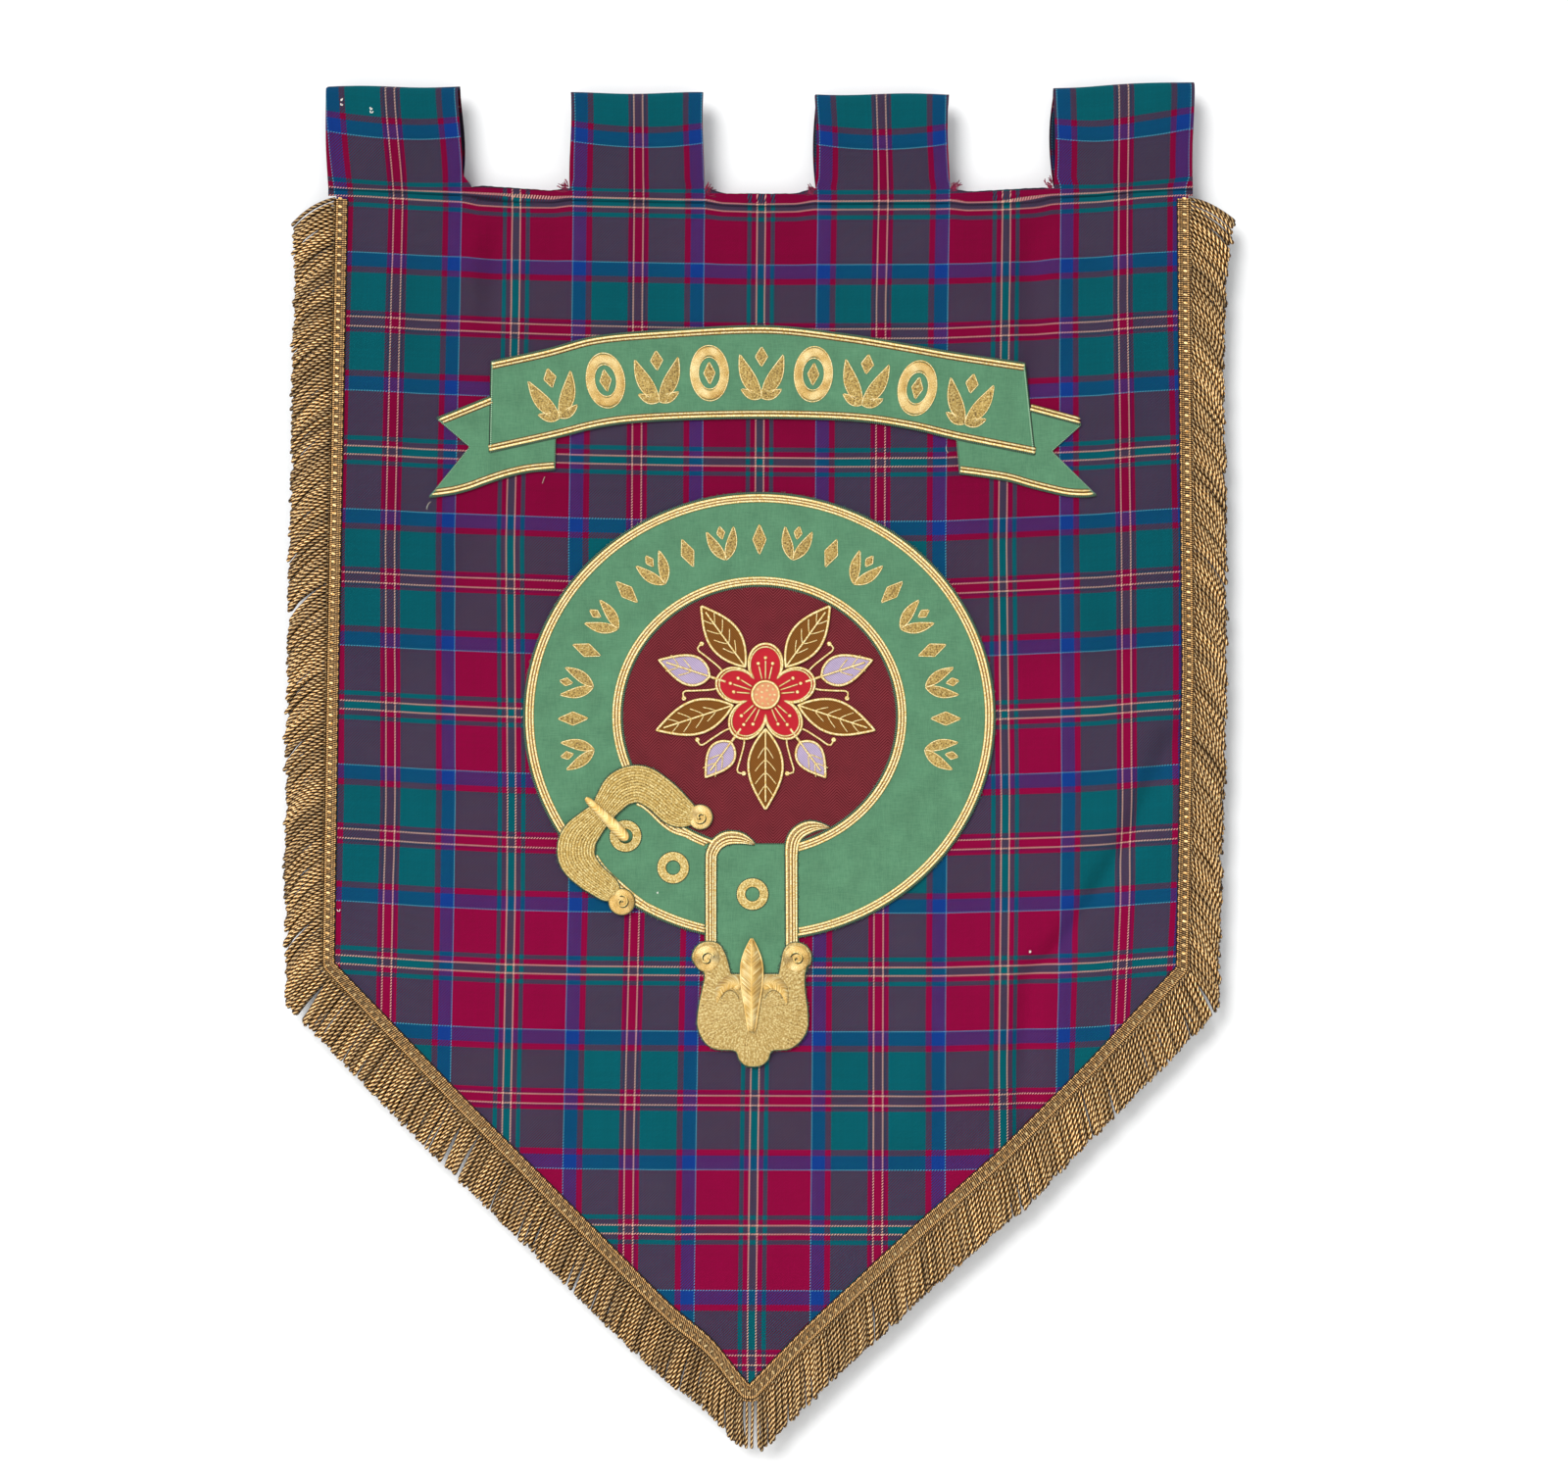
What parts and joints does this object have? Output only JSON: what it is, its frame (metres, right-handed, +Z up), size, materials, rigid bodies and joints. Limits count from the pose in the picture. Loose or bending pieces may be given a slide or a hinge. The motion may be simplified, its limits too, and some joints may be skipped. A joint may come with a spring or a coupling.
{
  "type": "clan banner",
  "caption": "Tartan hanging banner with top loops, pointed foot, gold fringe, a scroll and a belt-ring badge holding a flower spray",
  "frame": {"origin": "middle of the line that the tops of the four hanging loops reach", "axes": "+Z up, +X to the right seen from the front, the front faces -Y"},
  "size_m": [0.7447, 0.0163, 1.0693],
  "materials": {
    "tartan": "two-up two-down wool twill, matt",
    "gold_trim": "twisted rayon cord, soft sheen",
    "green_linen": "plain-woven linen, matt",
    "maroon_twill": "cotton twill, matt",
    "gold_thread": "padded satin stitch, metallic sheen",
    "red_patch": "cotton with gold stitched outline",
    "peach_patch": "cotton with gold stitched outline",
    "lilac_patch": "cotton with gold stitched outline",
    "brown_patch": "cotton with gold stitched outline"
  },
  "bodies": {
    "root": {"banner_cloth": "tartan", "tab_strip": "tartan", "fringe_left": "gold_trim", "fringe_lower_left": "gold_trim", "fringe_lower_right": "gold_trim", "fringe_right": "gold_trim", "scroll_band": "green_linen", "scroll_tail_left": "green_linen", "scroll_tail_right": "green_linen", "belt_ring": "green_linen", "strap_end": "green_linen", "badge_disc": "maroon_twill", "strap_tip": "gold_thread", "strap_tip_leaf": "gold_thread", "buckle": "gold_thread", "buckle_prong": "gold_thread", "eyelet_buckle": "gold_thread", "eyelet_middle": "gold_thread", "eyelet_strap": "gold_thread", "flower": "red_patch", "flower_centre": "peach_patch", "bud_left": "lilac_patch", "bud_right": "lilac_patch", "bud_low_left": "lilac_patch", "bud_low_right": "lilac_patch", "leaf_high_left": "brown_patch", "leaf_high_right": "brown_patch", "leaf_side_left": "brown_patch", "leaf_side_right": "brown_patch", "leaf_low": "brown_patch"}
  },
  "joints": []
}
